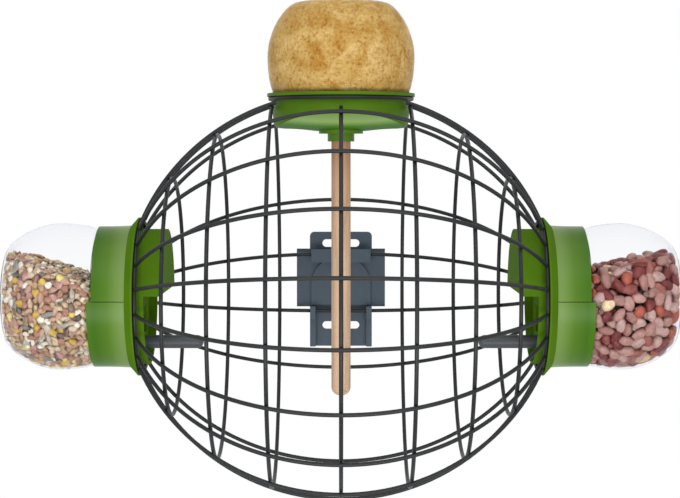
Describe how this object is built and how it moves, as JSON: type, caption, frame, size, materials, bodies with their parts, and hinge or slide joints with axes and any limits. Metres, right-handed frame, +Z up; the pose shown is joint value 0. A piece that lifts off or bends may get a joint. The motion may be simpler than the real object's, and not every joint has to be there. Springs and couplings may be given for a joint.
{
  "type": "caged bird feeder",
  "caption": "Barrel-shaped black wire cage on a wall bracket with clear food jars in green holders at the sides and top, perches inside for small birds.",
  "frame": {"origin": "on the back face of the wall bracket, at the height of the cage's long axis", "axes": "+X along the cage towards the peanut jar, +Y into the wall, +Z up"},
  "size_m": [0.4988, 0.3145, 0.3734],
  "materials": {
    "wire_coating": "black powder coat",
    "green_plastic": "satin moulded green",
    "clear_jar": "clear smooth",
    "suet": "speckled fat mix",
    "seed": "mixed loose seed",
    "peanut": "loose red-skin peanuts",
    "wood": "plain sanded",
    "dark_plastic": "dark grey",
    "slate_plastic": "slate grey moulded"
  },
  "bodies": {
    "bracket": {"wall_bracket": "slate_plastic"},
    "cage": {"hoop_centre": "wire_coating", "hoop_left_1": "wire_coating", "hoop_left_2": "wire_coating", "hoop_left_3": "wire_coating", "hoop_right_1": "wire_coating", "hoop_right_2": "wire_coating", "hoop_right_3": "wire_coating", "ring_left": "wire_coating", "ring_right": "wire_coating", "ring_top": "wire_coating", "wire_back_1": "wire_coating", "wire_back_2": "wire_coating", "wire_back_3": "wire_coating", "wire_back_4": "wire_coating", "wire_back_5": "wire_coating", "wire_back_6": "wire_coating", "wire_bottom": "wire_coating", "wire_front_1": "wire_coating", "wire_front_2": "wire_coating", "wire_front_3": "wire_coating", "wire_front_4": "wire_coating", "wire_front_5": "wire_coating", "wire_front_6": "wire_coating", "wire_front_7": "wire_coating", "wire_front_8": "wire_coating", "wire_top_back_left": "wire_coating", "wire_top_back_right": "wire_coating", "wire_top_front_left": "wire_coating", "wire_top_front_right": "wire_coating"},
    "top_feeder": {"top_cup": "green_plastic", "top_socket": "green_plastic", "dowel": "wood"},
    "top_jar": {"top_jar": "clear_jar", "suet": "suet"},
    "left_feeder": {"left_flange": "green_plastic", "left_shell_upper": "green_plastic", "left_shell_lower": "green_plastic", "left_hood": "green_plastic", "left_tray": "green_plastic", "left_perch": "dark_plastic", "left_seed": "seed"},
    "left_jar": {"left_jar": "clear_jar"},
    "right_feeder": {"right_flange": "green_plastic", "right_shell_upper": "green_plastic", "right_shell_lower": "green_plastic", "right_hood": "green_plastic", "right_tray": "green_plastic", "right_perch": "dark_plastic", "right_peanuts": "peanut"},
    "right_jar": {"right_jar": "clear_jar"}
  },
  "joints": [
    {"name": "cage_lift", "type": "slide", "parent": "bracket", "child": "cage", "axis": [0, 0, 1], "range_m": [0, 0.012]},
    {"name": "top_feeder_lift", "type": "slide", "parent": "cage", "child": "top_feeder", "axis": [0, 0, 1], "range_m": [0, 0.235]},
    {"name": "top_jar_twist", "type": "hinge", "parent": "top_feeder", "child": "top_jar", "pos_m": [0, -0.16171, 0.15], "axis": [0, 0, 1], "range_deg": [0, 90]},
    {"name": "left_feeder_pull", "type": "slide", "parent": "cage", "child": "left_feeder", "axis": [-1, 0, 0], "range_m": [0, 0.085]},
    {"name": "left_jar_twist", "type": "hinge", "parent": "left_feeder", "child": "left_jar", "pos_m": [-0.18, -0.16171, 0], "axis": [-1, 0, 0], "range_deg": [0, 90]},
    {"name": "right_feeder_pull", "type": "slide", "parent": "cage", "child": "right_feeder", "axis": [1, 0, 0], "range_m": [0, 0.085]},
    {"name": "right_jar_twist", "type": "hinge", "parent": "right_feeder", "child": "right_jar", "pos_m": [0.18, -0.16171, 0], "axis": [1, 0, 0], "range_deg": [0, 90]}
  ]
}
